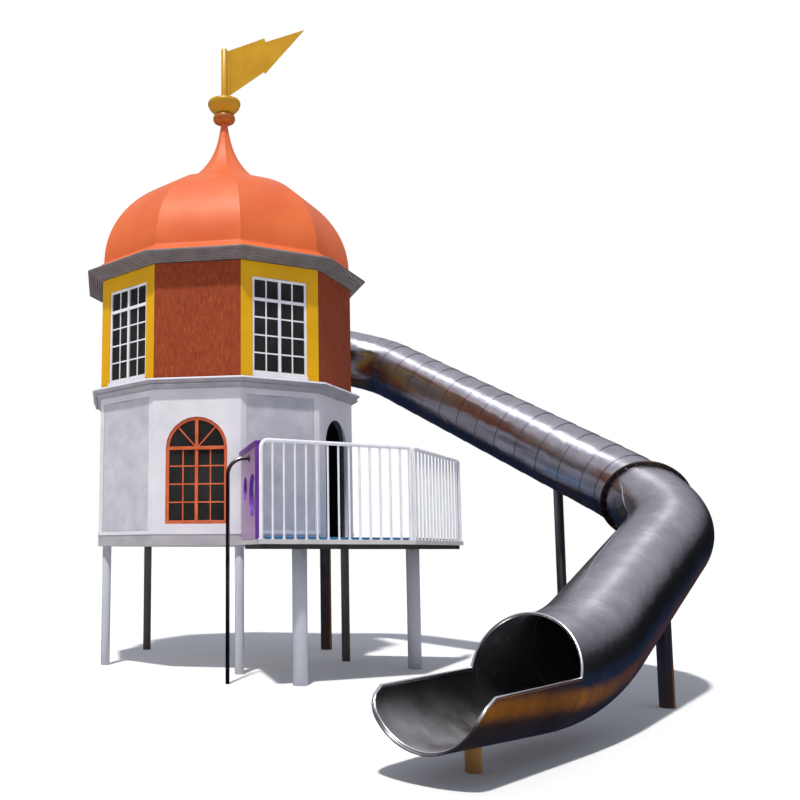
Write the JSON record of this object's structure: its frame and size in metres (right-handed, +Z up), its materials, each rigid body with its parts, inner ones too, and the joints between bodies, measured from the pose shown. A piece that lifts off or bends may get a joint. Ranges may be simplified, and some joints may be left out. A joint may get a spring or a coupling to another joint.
{
  "type": "playground tower with tube slide",
  "caption": "Domed playground tower on posts with a railed deck and a curved stainless steel tube slide that ends in an open trough.",
  "frame": {"origin": "middle of the footprint at ground level, under the posts' feet", "axes": "+Z up; -Y is the side seen in the picture, where the slide's open end lies; +X to the right in that view"},
  "size_m": [6.1797, 8.6192, 8.22],
  "materials": {
    "painted_wall": "pale grey paint on flat panels",
    "yellow_paint": "yellow paint",
    "terracotta_panel": "textured terracotta facing panel",
    "grey_trim": "mid grey ribbed trim",
    "dome_paint": "glossy orange moulded shell",
    "deck_band": "off-white band and slab",
    "dark_frame": "dark steel frame",
    "post_paint": "grey-blue post paint",
    "white_paint": "white powder coat",
    "purple_panel": "purple polyethylene board",
    "stainless_steel": "polished stainless steel sheet and tube"
  },
  "bodies": {
    "root": {"lower_plain_wall_1": "painted_wall", "lower_plain_wall_2": "painted_wall", "lower_plain_wall_3": "painted_wall", "lower_plain_wall_4": "painted_wall", "lower_plain_wall_5": "painted_wall", "lower_window_wall_1": "painted_wall", "lower_window_wall_2": "painted_wall", "lower_window_wall_3": "painted_wall", "lower_window_wall_4": "painted_wall", "lower_door_wall": "painted_wall", "upper_window_wall_1": "yellow_paint", "upper_window_wall_2": "yellow_paint", "upper_window_wall_3": "yellow_paint", "upper_window_wall_4": "yellow_paint", "upper_window_wall_5": "yellow_paint", "upper_plain_wall_1": "terracotta_panel", "upper_plain_wall_2": "terracotta_panel", "upper_plain_wall_3": "terracotta_panel", "upper_plain_wall_4": "terracotta_panel", "upper_slide_wall": "terracotta_panel", "tower_floor": "painted_wall", "upper_floor": "painted_wall", "upper_cornice": "grey_trim", "dome": "dome_paint", "finial": "yellow_paint", "pennant": "yellow_paint", "deck": "deck_band", "deck_frame": "dark_frame", "railing_front": "white_paint", "railing_right": "white_paint", "side_panel": "purple_panel", "fire_pole": "stainless_steel", "tower_post_front": "post_paint", "tower_post_right": "post_paint", "tower_post_left": "post_paint", "tower_post_back": "post_paint", "deck_post_front": "post_paint", "deck_post_right": "post_paint", "slide_upper_bend": "stainless_steel", "slide_chute": "stainless_steel", "slide_chute_end": "stainless_steel", "slide_flange": "stainless_steel", "slide_elbow": "stainless_steel", "slide_lower_tube": "stainless_steel", "slide_trough": "stainless_steel", "slide_leg_mouth": "stainless_steel", "slide_leg_chute": "stainless_steel", "slide_leg_elbow": "stainless_steel", "slide_leg_trough": "stainless_steel"}
  },
  "joints": []
}
